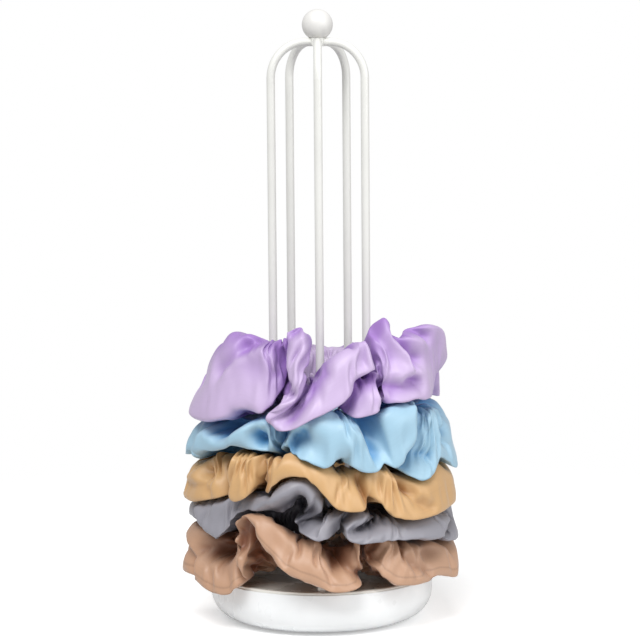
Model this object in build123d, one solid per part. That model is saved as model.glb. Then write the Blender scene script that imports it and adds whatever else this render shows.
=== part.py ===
"""Hair tie holder: a tower of five bent wires on a weighted round base, with a ball on top,
loaded with five satin scrunchies that lift off over the ball. Millimetres, +Z up.
The origin is on the bench under the tower's centre, and the front wire faces -Y.
"""
from build123d import *
from math import cos, radians, sin
import os

os.makedirs("parts", exist_ok=True)

# ---------------------------------------------------------------- fits
seat_gap = 0.3          # loose pieces over what carries them
slip_gap = 0.3          # sheet parts that drop into each other
thread_gap = 0.05       # screw threads, as plain cylinders, in their tapped holes
weld_gap = 0.02         # root of a weld between a wire and what it is welded to

# ---------------------------------------------------------------- base
shell_radius = 50.8     # a 4 inch dish
shell_height = 19.0     # flat underside to the top edge
shell_corner = 12.0     # rounding from the wall into the underside
shell_sheet = 1.2
pad_radius = 35.0
pad_thickness = 1.0
well_radius = 7.5       # pressed-up pocket that hides the screw head
well_depth = 6.0
tray_sheet = 1.2
tray_depth = 1.0        # lip down to the tray's floor
lip_setback = 0.6       # tray lip in from the shell's outside
lip_round = 0.45
weight_radius = 38.0
weight_thickness = 8.0
weight_bevel = 1.0
boss_radius = 4.5
screw_radius = 2.0      # M4
screw_reach = 8.0       # thread in the boss
screw_hole_play = 0.25
head_radius = 3.8
head_height = 2.4
head_round = 1.0
slot_width = 1.0
slot_depth = 1.1
washer_radius = 4.6
washer_thickness = 0.8

# ---------------------------------------------------------------- wire tower
wire_count = 5
wire_radius = 1.9
tower_radius = 22.2     # centre of the upright wires
tower_rise = 242.6      # tray floor to the centre of the wires' level top
top_bend = 16.0         # centreline radii
foot_bend = 6.0
foot_reach = 47.2       # outer end of the foot that lies on the tray
wire_end_bevel = 0.5
hub_apothem = 3.5       # flats that the wires are welded to
hub_edge = 0.5
stud_radius = 1.5       # M3
stud_grip = 7.0         # stud in the ball
ball_radius = 7.0
ball_seat = 5.9         # ball centre above its flat

# ---------------------------------------------------------------- scrunchies
grip_gap = 0.9          # fabric hole outside the wires
layer_gap = 0.6         # between one scrunchie and the next
edge_share = 0.36       # height of the outer edge, as a share of the puff's
bend_room = 5.0         # lowest scrunchie's hole, over the bends of the wires' feet
elastic_width = 4.0
elastic_thickness = 1.2
elastic_play = 0.3
elastic_inset = 3.4     # centre of the elastic from the fabric hole
sections = 60           # cross-sections round each ring
lift_clear = 10.0

# Bearings are degrees from the front, positive towards +X. "inset" is how far the top of
# the puffs is in from the outer edge, and "sink" how far the upper side is drawn down at
# the hole. "top" moves the rest of it up and down, and "fold" moves the outer edge in and
# out. Each is a wave, (height, crests round the ring, bearing of one crest). Lobes are
# single puffs of the upper side, or dips where the height is negative: (height, half width
# in degrees, bearing). Tucks are the sharp valleys where gathered cloth is drawn in
# between rounded puffs.
scrunchies = {
    "brown": dict(
        rise=20.5, reach=63.5, rest=0.46, inset=12.0, sink=4.0,
        top=[(0.6, 3, -20)], lobes=[(11.0, 26, -28), (-4.5, 36, 68)],
        fold=[(1.2, 3, -75)], tucks=[(4.5, 12, -30), (2.0, 20, 0)],
    ),
    "grey": dict(
        rise=15.5, reach=63.0, rest=0.5, inset=12.0, sink=2.5,
        top=[(0.5, 4, -18)], lobes=[(12.0, 28, -10), (-5.0, 40, 50)],
        fold=[(1.4, 2, 80)], tucks=[(4.0, 15, 12), (2.0, 10, 36)],
    ),
    "gold": dict(
        rise=17.0, reach=62.5, rest=0.48, inset=12.0, sink=3.0,
        top=[(0.5, 5, 12)], lobes=[(6.0, 52, -22), (-4.0, 40, 62)],
        fold=[(1.2, 3, 78)], tucks=[(4.5, 12, 18), (2.0, 20, 9)],
    ),
    "blue": dict(
        rise=21.5, reach=62.5, rest=0.5, inset=12.0, sink=2.5,
        top=[(0.6, 5, 38)],
        lobes=[(-3.5, 32, -78), (2.5, 16, 3), (4.5, 20, 38), (-4.5, 24, 78)],
        fold=[(1.4, 2, 85)], tucks=[(5.0, 10, 66), (2.5, 15, 0)],
    ),
    "lavender": dict(
        rise=34.5, reach=61.5, rest=0.36, inset=14.5, sink=14.0,
        top=[(0.8, 7, -28)],
        lobes=[(10.0, 11, -13), (-14.0, 10, -1), (13.0, 8, 29), (6.0, 12, 52), (-5.0, 22, 86),
               (-5.0, 20, -96), (3.0, 16, -40), (-5.0, 7, -22), (4.0, 18, 125), (-5.0, 12, 150),
               (4.0, 16, 178), (-5.0, 12, 204), (4.0, 18, 232)],
        fold=[(1.6, 3, -80)], tucks=[(5.0, 10, 24), (2.5, 15, 0)],
    ),
}

# ---------------------------------------------------------------- heights that follow
shell_bottom = pad_thickness
shell_top = shell_bottom + shell_height
shell_floor = shell_bottom + shell_sheet
well_ceiling = shell_bottom + well_depth
lip_top = shell_top + tray_sheet
tray_floor = lip_top - tray_depth
tray_underside = tray_floor - tray_sheet
foot_centre = tray_floor + wire_radius + weld_gap
foot_top = foot_centre + wire_radius
tower_top = tray_floor + tower_rise
hub_top = tower_top + wire_radius
ball_centre = hub_top + ball_seat
ball_top = ball_centre + ball_radius
hole_radius = tower_radius + wire_radius + grip_gap


def revolved(*edges):
    """Solid of revolution about Z from a closed half profile, with x as the radius."""
    profile = make_face(Wire(edges).edges())
    return revolve(Plane.XZ * profile, Axis.Z)


def ring(outer, inner, low, high):
    """Flat washer shape between two heights."""
    flat = Circle(outer) - Circle(inner)
    return Pos(0, 0, low) * extrude(flat, high - low)


# ---------------------------------------------------------------- base pieces
def bowl_shell():
    """Pressed dish with a rounded edge and a pocket in the middle for the screw."""
    inner_radius = shell_radius - shell_sheet
    inner_corner = shell_corner - shell_sheet
    corner_centre = shell_radius - shell_corner
    corner_level = shell_bottom + shell_corner
    diagonal = cos(radians(45))
    outer_mid = (corner_centre + shell_corner * diagonal, corner_level - shell_corner * diagonal)
    inner_mid = (corner_centre + inner_corner * diagonal, corner_level - inner_corner * diagonal)
    hole = screw_radius + screw_hole_play
    well_outside = well_radius + shell_sheet
    well_top = well_ceiling + shell_sheet
    return revolved(
        Line((hole, well_ceiling), (well_radius, well_ceiling)),
        Line((well_radius, well_ceiling), (well_radius, shell_bottom)),
        Line((well_radius, shell_bottom), (corner_centre, shell_bottom)),
        ThreePointArc((corner_centre, shell_bottom), outer_mid, (shell_radius, corner_level)),
        Line((shell_radius, corner_level), (shell_radius, shell_top)),
        Line((shell_radius, shell_top), (inner_radius, shell_top)),
        Line((inner_radius, shell_top), (inner_radius, corner_level)),
        ThreePointArc((inner_radius, corner_level), inner_mid, (corner_centre, shell_floor)),
        Line((corner_centre, shell_floor), (well_outside, shell_floor)),
        Line((well_outside, shell_floor), (well_outside, well_top)),
        Line((well_outside, well_top), (hole, well_top)),
        Line((hole, well_top), (hole, well_ceiling)),
    )


def tray_plate():
    """Shallow tray whose lip hooks over the shell's top edge."""
    lip_radius = shell_radius - lip_setback
    step_radius = shell_radius - shell_sheet - slip_gap
    floor_radius = step_radius - tray_sheet
    plate = Pos(0, 0, tray_underside) * extrude(Circle(step_radius), lip_top - tray_underside)
    plate += ring(lip_radius, floor_radius, shell_top, lip_top)
    plate -= Pos(0, 0, tray_floor) * extrude(Circle(floor_radius), tray_depth)
    top_edges = plate.edges().filter_by(GeomType.CIRCLE).group_by(Axis.Z)[-1]
    return fillet(top_edges, lip_round)


def tray_boss():
    """Tapped post welded under the tray, standing on the shell's pocket."""
    return ring(boss_radius, screw_radius + thread_gap, well_ceiling + shell_sheet, tray_underside)


def base_weight():
    """Cast disc on the shell's floor that keeps the tower from tipping."""
    bore = well_radius + shell_sheet + slip_gap
    disc = ring(weight_radius, bore, shell_floor, shell_floor + weight_thickness)
    rims = disc.edges().filter_by(GeomType.CIRCLE).group_by(Axis.Z)[-1]
    return chamfer(rims, weight_bevel)


def screw_washer():
    return ring(washer_radius, screw_radius + screw_hole_play, well_ceiling - washer_thickness, well_ceiling)


def base_screw():
    """Pan head screw that draws the tray down on the shell."""
    head_top = well_ceiling - washer_thickness
    shank_top = well_ceiling + shell_sheet + screw_reach
    head = Pos(0, 0, head_top - head_height) * extrude(Circle(head_radius), head_height)
    head = fillet(head.edges().filter_by(GeomType.CIRCLE).group_by(Axis.Z)[0], head_round)
    for turn in (0, 90):
        cross = Box(head_radius, slot_width, 2 * slot_depth)
        head -= Pos(0, 0, head_top - head_height) * Rot(0, 0, turn) * cross
    return head + Pos(0, 0, head_top) * extrude(Circle(screw_radius), shank_top - head_top)


def foot_pad():
    """Rubber disc stuck over the underside and the screw pocket."""
    return extrude(Circle(pad_radius), pad_thickness)


# ---------------------------------------------------------------- wire tower pieces
def tower_wire(bearing):
    """One wire: a foot along the tray, an upright, and a bend in to the hub."""
    path = FilletPolyline(
        (foot_reach, 0, foot_centre),
        (tower_radius, 0, foot_centre),
        (tower_radius, 0, tower_top),
        (hub_apothem + weld_gap, 0, tower_top),
        radius=[foot_bend, top_bend],
    )
    wire = sweep(Plane(path @ 0, z_dir=path % 0) * Circle(wire_radius), path)
    foot_end = wire.edges().filter_by(GeomType.CIRCLE).sort_by(Axis.X)[-1]
    wire = chamfer(foot_end, wire_end_bevel)
    return Rot(0, 0, bearing - 90) * wire


def tower_hub():
    """Slug with one flat for each wire, drilled for the stud."""
    flats = RegularPolygon(hub_apothem, wire_count, major_radius=False)
    turned = Rot(0, 0, -90 - 180 / wire_count) * flats
    slug = Pos(0, 0, tower_top - wire_radius) * extrude(turned, 2 * wire_radius)
    slug = fillet(slug.edges().group_by(Axis.Z)[0], hub_edge)
    return slug - Pos(0, 0, tower_top) * Cylinder(stud_radius + thread_gap, 2 * hub_top - 2 * tower_top)


def finial_stud():
    low = tower_top - wire_radius
    return Pos(0, 0, low) * extrude(Circle(stud_radius), hub_top + stud_grip - low)


def finial_ball():
    """Ball with a small flat where it is screwed down on the hub."""
    ball = Pos(0, 0, ball_centre) * Sphere(ball_radius)
    below = Pos(0, 0, hub_top - ball_radius) * Box(2 * ball_radius, 2 * ball_radius, 2 * ball_radius)
    bore_depth = stud_grip + seat_gap
    bore = Pos(0, 0, hub_top) * extrude(Circle(stud_radius + thread_gap), bore_depth)
    return ball - below - bore


# ---------------------------------------------------------------- scrunchie pieces
def wave(waves, bearing):
    return sum(size * cos(radians(count * (bearing - crest))) for size, count, crest in waves)


def tucks(waves, bearing):
    """Rounded puffs at each crest, drawn in to a sharp valley half way between two crests."""
    return sum(size * abs(cos(radians(count * (bearing - crest) / 2))) - size for size, count, crest in waves)


def lobes(puffs, bearing):
    """Single rounded puffs and dips, each nothing beyond its half width."""
    total = 0.0
    for size, half_width, centre in puffs:
        away = abs((bearing - centre + 180) % 360 - 180)
        if away < half_width:
            total += size * (1 + cos(radians(180 * away / half_width))) / 2
    return total


def upper_side(size, bearing):
    """How far the upper side of a scrunchie stands off its level at one bearing."""
    return wave(size["top"], bearing) + lobes(size["lobes"], bearing) + tucks(size["tucks"], bearing) / 4


def upper_points(size, bearing, top):
    """Where the upper side meets the hole, and its crest, as (radius, height)."""
    reach = size["reach"] + wave(size["fold"], bearing) + tucks(size["tucks"], bearing)
    crest_height = top + upper_side(size, bearing) - layer_gap / 2
    return (hole_radius, top - size["sink"]), (reach - size["inset"], crest_height), reach


def cover_section(bearing, size, below, bottom, top):
    """Outline of the gathered fabric at one bearing, on a plane through the tower's axis.

    It is widest low down and swells to a crest near the outer edge, and from there it
    slopes in to the hole. Its lower side lies along the upper side of the scrunchie below.
    """
    upper_inner, crest, reach = upper_points(size, bearing, top)
    if below:
        (_, low_inner), (belly_radius, low_crest), _ = upper_points(below, bearing, bottom)
        lower_inner = (hole_radius, low_inner + layer_gap)
        belly = (belly_radius, low_crest + layer_gap)
        under = (lower_inner[1] + belly[1]) / 2
    else:
        lower_inner = (hole_radius, bottom + layer_gap / 2 + bend_room)
        belly = (crest[0], bottom + layer_gap / 2)
        under = belly[1]
    low, high = belly[1], crest[1]
    nose = (reach, low + (high - low) * edge_share)
    outline = Wire([
        Line(lower_inner, upper_inner),
        Line(upper_inner, crest),
        Bezier(crest, (reach, high), nose),
        Bezier(nose, (reach, low), belly),
        Bezier(belly, ((hole_radius + belly[0]) / 2, under), lower_inner),
    ])
    angle = radians(bearing)
    plane = Plane((0, 0, 0), x_dir=(sin(angle), -cos(angle), 0), z_dir=(-cos(angle), -sin(angle), 0))
    return plane.location * outline


def elastic_band(middle, play):
    """Flat elastic, or with some play the channel that it runs in."""
    centre = hole_radius + elastic_inset
    half_thickness = elastic_thickness / 2 + play
    half_width = elastic_width / 2 + play
    return ring(centre + half_thickness, centre - half_thickness, middle - half_width, middle + half_width)


def scrunchie_cover(size, below, bottom, top, middle):
    """Gathered fabric ring with a channel inside for the elastic."""
    halves = []
    for start in (0, sections // 2):
        bearings = [360 / sections * (start + step) for step in range(sections // 2 + 1)]
        outlines = [cover_section(bearing, size, below, bottom, top) for bearing in bearings]
        halves.append(Solid.make_loft(outlines, ruled=True))
    return halves[0] + halves[1] - elastic_band(middle, elastic_play)


# ---------------------------------------------------------------- the whole holder
pieces = {
    "bowl_shell": bowl_shell(),
    "tray_plate": tray_plate(),
    "tray_boss": tray_boss(),
    "base_weight": base_weight(),
    "screw_washer": screw_washer(),
    "base_screw": base_screw(),
    "foot_pad": foot_pad(),
    "tower_hub": tower_hub(),
    "finial_stud": finial_stud(),
    "finial_ball": finial_ball(),
}

for number in range(wire_count):
    pieces[f"tower_wire_{number + 1}"] = tower_wire(360 / wire_count * number)

bottom = foot_top + seat_gap - layer_gap / 2
below = None
for name, size in scrunchies.items():
    top = bottom + size["rise"]
    middle = bottom + size["rise"] * size["rest"]
    pieces[f"{name}_scrunchie_cover"] = scrunchie_cover(size, below, bottom, top, middle)
    pieces[f"{name}_scrunchie_elastic"] = elastic_band(middle, 0)
    lift = ball_top + lift_clear - bottom
    print(f"{name} scrunchie: {bottom:.1f} to {top:.1f} mm, lifts off after {lift:.0f} mm")
    below = size
    bottom = top

for name, piece in pieces.items():
    export_step(piece, f"parts/{name}.step")

print(f"height {ball_top:.1f} mm, base {2 * shell_radius:.1f} mm across")
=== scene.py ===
"""Hair tie holder: looks for the wire tower on its round enamelled dish and the five gathered satin
scrunchies that are stacked on it. Metres throughout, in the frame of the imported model."""

from math import atan2, cos, pi, radians, sin

import bmesh
import bpy
import numpy as np
from bpy.props import FloatProperty, FloatVectorProperty, IntProperty, PointerProperty
from mathutils import Matrix, Vector


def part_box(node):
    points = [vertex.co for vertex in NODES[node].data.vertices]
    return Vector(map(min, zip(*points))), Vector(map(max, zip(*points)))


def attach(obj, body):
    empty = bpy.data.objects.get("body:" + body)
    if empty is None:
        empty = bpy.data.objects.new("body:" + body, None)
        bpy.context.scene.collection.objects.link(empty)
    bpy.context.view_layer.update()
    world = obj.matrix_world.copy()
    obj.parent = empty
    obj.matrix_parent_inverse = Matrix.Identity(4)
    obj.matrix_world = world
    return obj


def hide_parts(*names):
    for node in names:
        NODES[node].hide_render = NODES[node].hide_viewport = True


bl_info = {
    "name": "Hair tie holder",
    "version": (1, 0, 0),
    "blender": (4, 5, 0),
    "location": "3D View > Sidebar > Hair Tie Holder",
    "description": "Dresses a scrunchie tower: enamelled dish, coated wires, ball and satin scrunchies",
    "category": "Object",
}

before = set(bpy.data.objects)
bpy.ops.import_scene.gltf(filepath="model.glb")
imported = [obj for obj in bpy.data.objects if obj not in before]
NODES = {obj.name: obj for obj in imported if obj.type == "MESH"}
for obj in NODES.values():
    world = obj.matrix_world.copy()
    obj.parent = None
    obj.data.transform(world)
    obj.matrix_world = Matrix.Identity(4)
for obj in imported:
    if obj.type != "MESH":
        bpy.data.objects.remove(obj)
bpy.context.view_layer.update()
MM = 0.001
WIRE_NODES = sorted(n for n in NODES if n.startswith("tower_wire_"))

# ---------------------------------------------------------------- the scrunchies' guides
# Each scrunchie is a flattened satin tube. A station of its guide gives the folded outer edge and
# the crest of the cloth above it, each as (bearing in degrees from the front, radius and height in
# millimetres). They are read from front left to front right; the back is made by back_stations().
BROWN = [
    (-84, 64, 24, -86, 61, 46), (-70, 63, 23, -75, 60, 45), (-60, 62, 20, -66, 57, 42),
    (-50, 61, 18, -58, 54, 38), (-44, 60, 19, -53, 50, 35), (-39, 60, 25, -47, 55, 41),
    (-37, 59, 34, -46, 59, 48), (-36, 58, 43, -45, 60, 54), (-35, 59, 50, -41, 59, 58),
    (-33, 61, 52, -36, 57, 61), (-29, 62, 48, -30, 56, 61), (-23, 63, 41, -23, 56, 59),
    (-16, 64, 35, -14, 54, 50), (-10, 64, 31, -9, 55, 48), (-3, 63, 28, -3, 56, 48),
    (6, 63, 24, 1, 50, 46), (14, 62, 25, 5, 42, 40), (19, 60, 29, 12, 48, 46),
    (19, 57, 37, 15, 57, 48), (19, 52, 43, 18, 54, 49), (22, 52, 43, 23, 56, 49),
    (22, 59, 37, 28, 57, 48), (26, 62, 30, 32, 57, 48), (33, 63, 25, 38, 57, 45),
    (45, 63, 24, 46, 55, 44), (57, 62, 25, 56, 54, 42), (64, 63, 24, 66, 57, 42),
    (73, 65, 22, 74, 57, 39), (81, 63, 27, 84, 56, 40),
]
GREY = [
    (-86, 60, 48, -86, 56, 58), (-74, 61, 50, -74, 54, 60), (-66, 62, 49, -64, 58, 61),
    (-58, 63, 45, -56, 58, 62), (-52, 63, 43, -50, 58, 64), (-46, 62, 46, -44, 58, 65),
    (-41, 60, 52, -40, 55, 65), (-34, 58, 57, -34, 52, 65), (-27, 60, 58, -27, 56, 67),
    (-19, 62, 59, -20, 59, 75), (-13, 61, 62, -14, 60, 79), (-10, 60, 66, -9, 60, 80),
    (-6, 60, 63, -4, 60, 78), (-8, 60, 58, 0, 60, 72), (-12, 61, 55, 1, 59, 64),
    (-10, 62, 50, -2, 55, 57), (-4, 63, 47, 2, 55, 57), (3, 63, 47, 5, 56, 58),
    (8, 62, 50, 9, 57, 61), (11, 60, 55, 14, 57, 63), (10, 62, 51, 19, 58, 61),
    (12, 64, 46, 22, 58, 56), (20, 64, 45, 26, 58, 52),
    (38, 64, 45, 38, 58, 52), (52, 64, 43, 52, 58, 53), (66, 64, 43, 64, 58, 54),
    (72, 61, 46, 72, 56, 54), (66, 62, 39, 76, 58, 51), (80, 63, 37, 86, 57, 51),
]
GOLD = [
    (-84, 63, 58, -86, 58, 73), (-68, 63, 58, -70, 58, 78), (-56, 62, 60, -58, 57, 82),
    (-46, 61, 63, -52, 56, 84), (-45, 53, 68, -47, 48, 82), (-46, 50, 77, -45, 46, 84),
    (-43, 58, 72, -42, 58, 85), (-42, 62, 65, -38, 61, 85), (-37, 64, 62, -34, 61, 85),
    (-31, 62, 66, -31, 60, 85), (-28, 57, 73, -29, 55, 85), (-24, 61, 75, -26, 55, 84),
    (-25, 63, 66, -22, 57, 84), (-19, 64, 71, -18, 58, 86), (-12, 64, 75, -12, 58, 88),
    (-5, 64, 75, -6, 58, 86), (1, 64, 68, 2, 55, 83), (6, 64, 62, 8, 50, 81),
    (13, 63, 59, 13, 50, 81), (19, 62, 60, 18, 54, 79), (21, 60, 65, 22, 57, 79),
    (25, 62, 63, 27, 57, 80), (31, 64, 56, 32, 57, 79), (40, 64, 53, 38, 55, 76),
    (52, 64, 53, 50, 57, 73), (66, 63, 54, 62, 59, 78), (82, 62, 55, 78, 58, 73),
]
BLUE = [
    (-84, 62, 76, -86, 52, 95), (-74, 60, 84, -78, 51, 96, -74, 61, 72),
    (-62, 62, 88, -66, 50, 97, -62, 62, 75), (-52, 62, 89, -54, 48, 97, -52, 62, 79),
    (-44, 62, 92, -44, 48, 99, -42, 62, 81), (-36, 61, 97, -36, 50, 101, -34, 61, 82),
    (-27, 60, 99, -28, 52, 103, -27, 59, 83), (-22, 56, 92, -22, 50, 101, -22, 54, 84),
    (-18, 52, 86, -18, 46, 99), (-15, 60, 88, -13, 51, 101), (-11, 64, 83, -8, 54, 102),
    (-4, 64, 80, -2, 59, 106), (2, 64, 79, 3, 59, 106), (7, 62, 83, 8, 58, 105),
    (11, 62, 82, 11, 58, 105), (17, 63, 77, 15, 58, 104), (24, 63, 76, 19, 54, 102),
    (28, 60, 79, 22, 46, 98), (32, 63, 77, 27, 56, 104), (38, 63, 82, 35, 59, 106),
    (43, 62, 87, 42, 59, 107), (46, 61, 97, 45, 56, 107), (46, 52, 94, 48, 46, 104),
    (40, 52, 82, 51, 50, 104), (38, 60, 74, 52, 57, 100), (45, 64, 69, 55, 60, 98),
    (53, 64, 71, 59, 59, 100), (59, 62, 77, 63, 57, 100), (66, 62, 76, 69, 55, 100),
    (74, 64, 71, 77, 52, 100), (86, 62, 74, 88, 50, 99),
]
LAVENDER = [
    (-84, 58, 100, -90, 45, 122), (-72, 62, 97, -80, 47, 128), (-62, 62, 96, -69, 48, 134),
    (-50, 62, 97, -57, 50, 138), (-42, 60, 100, -47, 52, 139), (-35, 59, 103, -39, 53, 138),
    (-28, 60, 101, -32, 55, 137), (-23, 57, 104, -27, 54, 136), (-19, 51, 113, -24, 51, 135),
    (-18, 49, 124, -21, 50, 136), (-19, 48, 132, -19, 50, 138), (-17, 54, 128, -13, 54, 142),
    (-13, 58, 119, -7, 55, 141), (-12, 60, 111, -4, 55, 129), (-17, 62, 104, -4, 54, 117),
    (-23, 63, 99, -8, 52, 110), (-20, 64, 95, -13, 50, 106), (-12, 64, 95, -8, 54, 110),
    (-4, 64, 100, -3, 57, 116), (4, 63, 104, 3, 57, 126), (11, 62, 109, 11, 57, 132),
    (15, 60, 115, 17, 55, 134), (25, 57, 120, 22, 54, 134), (22, 50, 113, 22, 50, 128),
    (9, 56, 105, 15, 58, 120), (14, 61, 100, 20, 61, 117), (25, 61, 103, 26, 61, 118),
    (30, 56, 110, 29, 54, 123), (33, 59, 112, 29, 49, 133), (30, 61, 106, 34, 49, 143),
    (34, 62, 105, 37, 51, 147), (41, 62, 105, 41, 55, 139), (48, 61, 105, 46, 57, 135),
    (55, 60, 105, 51, 56, 136), (62, 57, 105, 60, 56, 139), (70, 54, 106, 68, 57, 141),
    (78, 51, 107, 76, 59, 138), (87, 49, 107, 84, 62, 130), (96, 49, 106, 93, 62, 122),
]
# Edges of cloth that stand over what is next to them: (depth, width, line of (bearing, height)).
# The cloth on the right-hand side of the line, as it is followed, is drawn in; on the left-hand
# side where the depth is negative.
CREASES = {
    "lavender": [
        (-8, 5, [(-41.8, 125.8), (-35.7, 128.6), (-30, 130.9), (-24.7, 131.6), (-21.8, 130.4)]),
        (7, 5, [(-5.6, 114.2), (-2.3, 120.8), (-4, 127.8), (-6.1, 134.3)]),
        (6, 3, [(-16.4, 137), (-16.9, 130.8), (-15.7, 124.2), (-14.6, 116), (-11.1, 112)]),
        (8, 5, [(-22.9, 99), (-19.2, 95.1), (-14.4, 94.2), (-8.1, 96.4), (-0.3, 100.6), (6.6, 104),
            (11.3, 107.4), (13.3, 111.1), (14.9, 114.8), (20.2, 117.8), (25.7, 118.9)]),
        (-6, 4, [(-11.2, 98.8), (-7.2, 103), (-3.3, 108), (0.5, 113.8), (4.4, 119.6), (2.9, 124.1)]),
        (3, 4, [(26.6, 119.1), (24.5, 124.6), (24.1, 131.3)]),
        (8, 5, [(29.2, 115.2), (36.3, 115), (48.3, 116.6)]),
        (9, 6, [(45, 120.9), (43.7, 126.4), (38.4, 133.6)]),
        (4, 2.5, [(33.4, 110.7), (32.4, 113.7), (28.8, 118.1)]),
        (5, 3, [(27.4, 106.2), (30.6, 108), (33.4, 110.7)]),
        (-7, 4, [(43.7, 135.2), (48.4, 133.5), (59.8, 132.3)]),
        (-4, 3, [(-51.5, 116.4), (-47.6, 120.2), (-41.8, 125.8)]),
    ],
    "blue": [
        (-12, 6, [(-55.5, 90.1), (-48.2, 88.8), (-42.4, 91.8), (-35.1, 96.8), (-27.7, 99.3),
            (-23.8, 99.6)]),
        (7, 5, [(-14.8, 88.2), (-12, 92.9), (-8.1, 95.5)]),
        (8, 4.5, [(21.7, 82.5), (20.1, 88.4), (18, 94.3), (16.9, 98.9)]),
        (9, 6, [(37.1, 80.7), (42.4, 85.5), (44.9, 92.8), (44.9, 100.3)]),
        (-5, 4, [(-68.9, 79.9), (-65.2, 85.7), (-64.7, 90), (-61.1, 93.6)]),
        (5, 4, [(64.2, 85.8), (62.2, 90.4), (63.2, 94.5)]),
    ],
    "gold": [
        (6, 3.5, [(-41.2, 80.7), (-43.2, 75), (-42.7, 68.7), (-41.5, 64.2)]),
        (5, 3, [(-28.1, 65.7), (-25.4, 73.1), (-27.5, 79.6)]),
        (4, 3, [(-25.7, 80.6), (-23.2, 77.4), (-21.8, 71.7), (-22.4, 66.2)]),
        (-4, 3, [(31.3, 76.3), (34.1, 72.3), (38, 65.1), (41, 62.6), (42.9, 64)]),
        (3, 3, [(-78.1, 65.3), (-58.4, 68.2), (-53.9, 66.2)]),
        (3, 2.5, [(43.4, 62.5), (51.9, 58.7)]),
    ],
    "grey": [
        (4, 3, [(-68.6, 56.4), (-65.3, 52.3), (-61, 47.5), (-52.9, 44.2)]),
        (8, 5, [(-29.1, 57.2), (-21.2, 60.9), (-14.7, 64.6), (-9.9, 66.9), (-6.6, 65.1),
            (-5.6, 60.8)]),
        (-8, 5, [(-5.6, 60.8), (-7.6, 58.2), (-10.8, 56.4), (-11.7, 53.5)]),
        (-7, 5, [(8.5, 47.6), (9, 51), (12, 54.5), (17, 57.5), (24, 60)]),
    ],
    "brown": [
        (9, 6, [(-42.3, 40.8), (-41.7, 47.7), (-37.7, 54.3), (-33.3, 54.9), (-29.6, 49.2),
            (-25.7, 43.7), (-21.5, 38.2), (-16.5, 34)]),
        (-6, 4, [(-67, 33.8), (-59.1, 40.4), (-51.6, 43), (-42.5, 44.2)]),
        (9, 6, [(3.8, 34), (2.5, 38.3), (3.1, 45.8)]),
        (8, 4, [(22.3, 36.5), (21.9, 40.7), (24.9, 44.6)]),
        (4, 4, [(50.4, 26.3), (41, 30.8), (36.9, 36.5), (36.7, 42.5)]),
        (-5, 4, [(17.8, 45.2), (19.4, 38.4), (18.9, 33.4)]),
        (4, 3, [(-84.3, 38), (-70.8, 33), (-67.3, 26)]),
    ],
}
# Pockets pressed into the outside of each scrunchie: (bearing, height, half length, half width,
# degrees that the length rises to the right, depth), in millimetres where not degrees.
DENTS = {
    "lavender": [(-20, 125.8, 5, 1.9, -67, 10), (-11.6, 137.4, 4.2, 1.2, 28, 6),
                (-15.3, 130.7, 3.4, 0.9, 90, 3), (-11.2, 100.8, 4.8, 1.7, 37, 6),
                (-4.1, 112, 4.3, 1.2, 18, 7), (-1.7, 117.9, 3.8, 1.9, 50, 8),
                (19.6, 115.8, 5.6, 1.9, 11, 9), (62, 133, 6, 2, -20, 8),
                (31.5, 137.5, 4.2, 1.8, 62, 8), (-34.6, 100.2, 6.4, 1.9, 2, 9),
                (49.6, 123.2, 5.3, 2, 0, 7), (31.3, 110.9, 2.9, 1.2, 78, 5),
                (-19, 119.1, 5.4, 1.7, 9, 3)],
    "blue": [(-49.4, 92.1, 5.8, 1.9, -7, 7), (-28, 90.7, 3.7, 2.9, -57, 10),
            (-68.8, 82.5, 4.7, 1.4, 64, 8), (20.6, 92.9, 4.7, 1.9, -77, 10),
            (48.8, 91.5, 7.1, 2.4, 68, 9), (71.4, 86.7, 8.5, 1.5, 12, 9),
            (50.7, 79.8, 5.4, 1.4, 3, 8), (-16, 92.8, 4.3, 1.5, 59, 6)],
    "gold": [(-44.7, 71.4, 5.3, 1, 87, 8), (-59.1, 70.9, 5.1, 1.4, -16, 5),
            (18.7, 66.5, 6.9, 1.7, -71, 6), (38.9, 66.2, 3.9, 1.2, -41, 8),
            (-27, 69.6, 2.3, 0.9, 68, 6), (9.6, 77.7, 3.5, 1.2, -15, 5)],
    "grey": [(-10.6, 59.4, 4.4, 2.9, 70, 15), (2.1, 66.2, 2.9, 1.2, -50, 8),
            (10.2, 56.5, 5.2, 0.9, 20, 6), (72.5, 44.4, 9.9, 1.5, 14, 9),
            (-66.5, 48.6, 5.2, 1, -35, 5), (20, 51.2, 9, 1.4, 9, 8),
            (-14.7, 58.8, 3.5, 1.7, 10, 8)],
    "brown": [(-57, 36.8, 8.5, 3.6, 8, 15), (-61.6, 42.2, 7.1, 1.5, 4, 8),
             (-33.5, 46, 6, 3.4, 90, 15), (-28, 37.5, 7, 3, -7, 15),
             (-14.7, 54.4, 3.9, 2.2, 19, 12), (6.6, 40.7, 5.5, 3.4, -70, 15),
             (19.9, 39.3, 5.3, 1.7, 88, 14), (19.7, 29.1, 5.4, 2.2, -24, 10),
             (-38.1, 26.2, 5.2, 1.2, -71, 5), (56.1, 35.1, 9.1, 3.4, 6, 4)],
}
# name: (guide, height of the elastic, thickness there, lowest and highest cloth at the back,
# radius of the crests there)
STACK = {
    "brown": (BROWN, 34, 15, 24, 45, 56),
    "grey": (GREY, 49.5, 15.5, 42, 60, 55),
    "gold": (GOLD, 66, 15.5, 57, 76, 55),
    "blue": (BLUE, 85.5, 21, 74, 98, 54),
    "lavender": (LAVENDER, 108, 22, 98, 117, 50),
}


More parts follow.
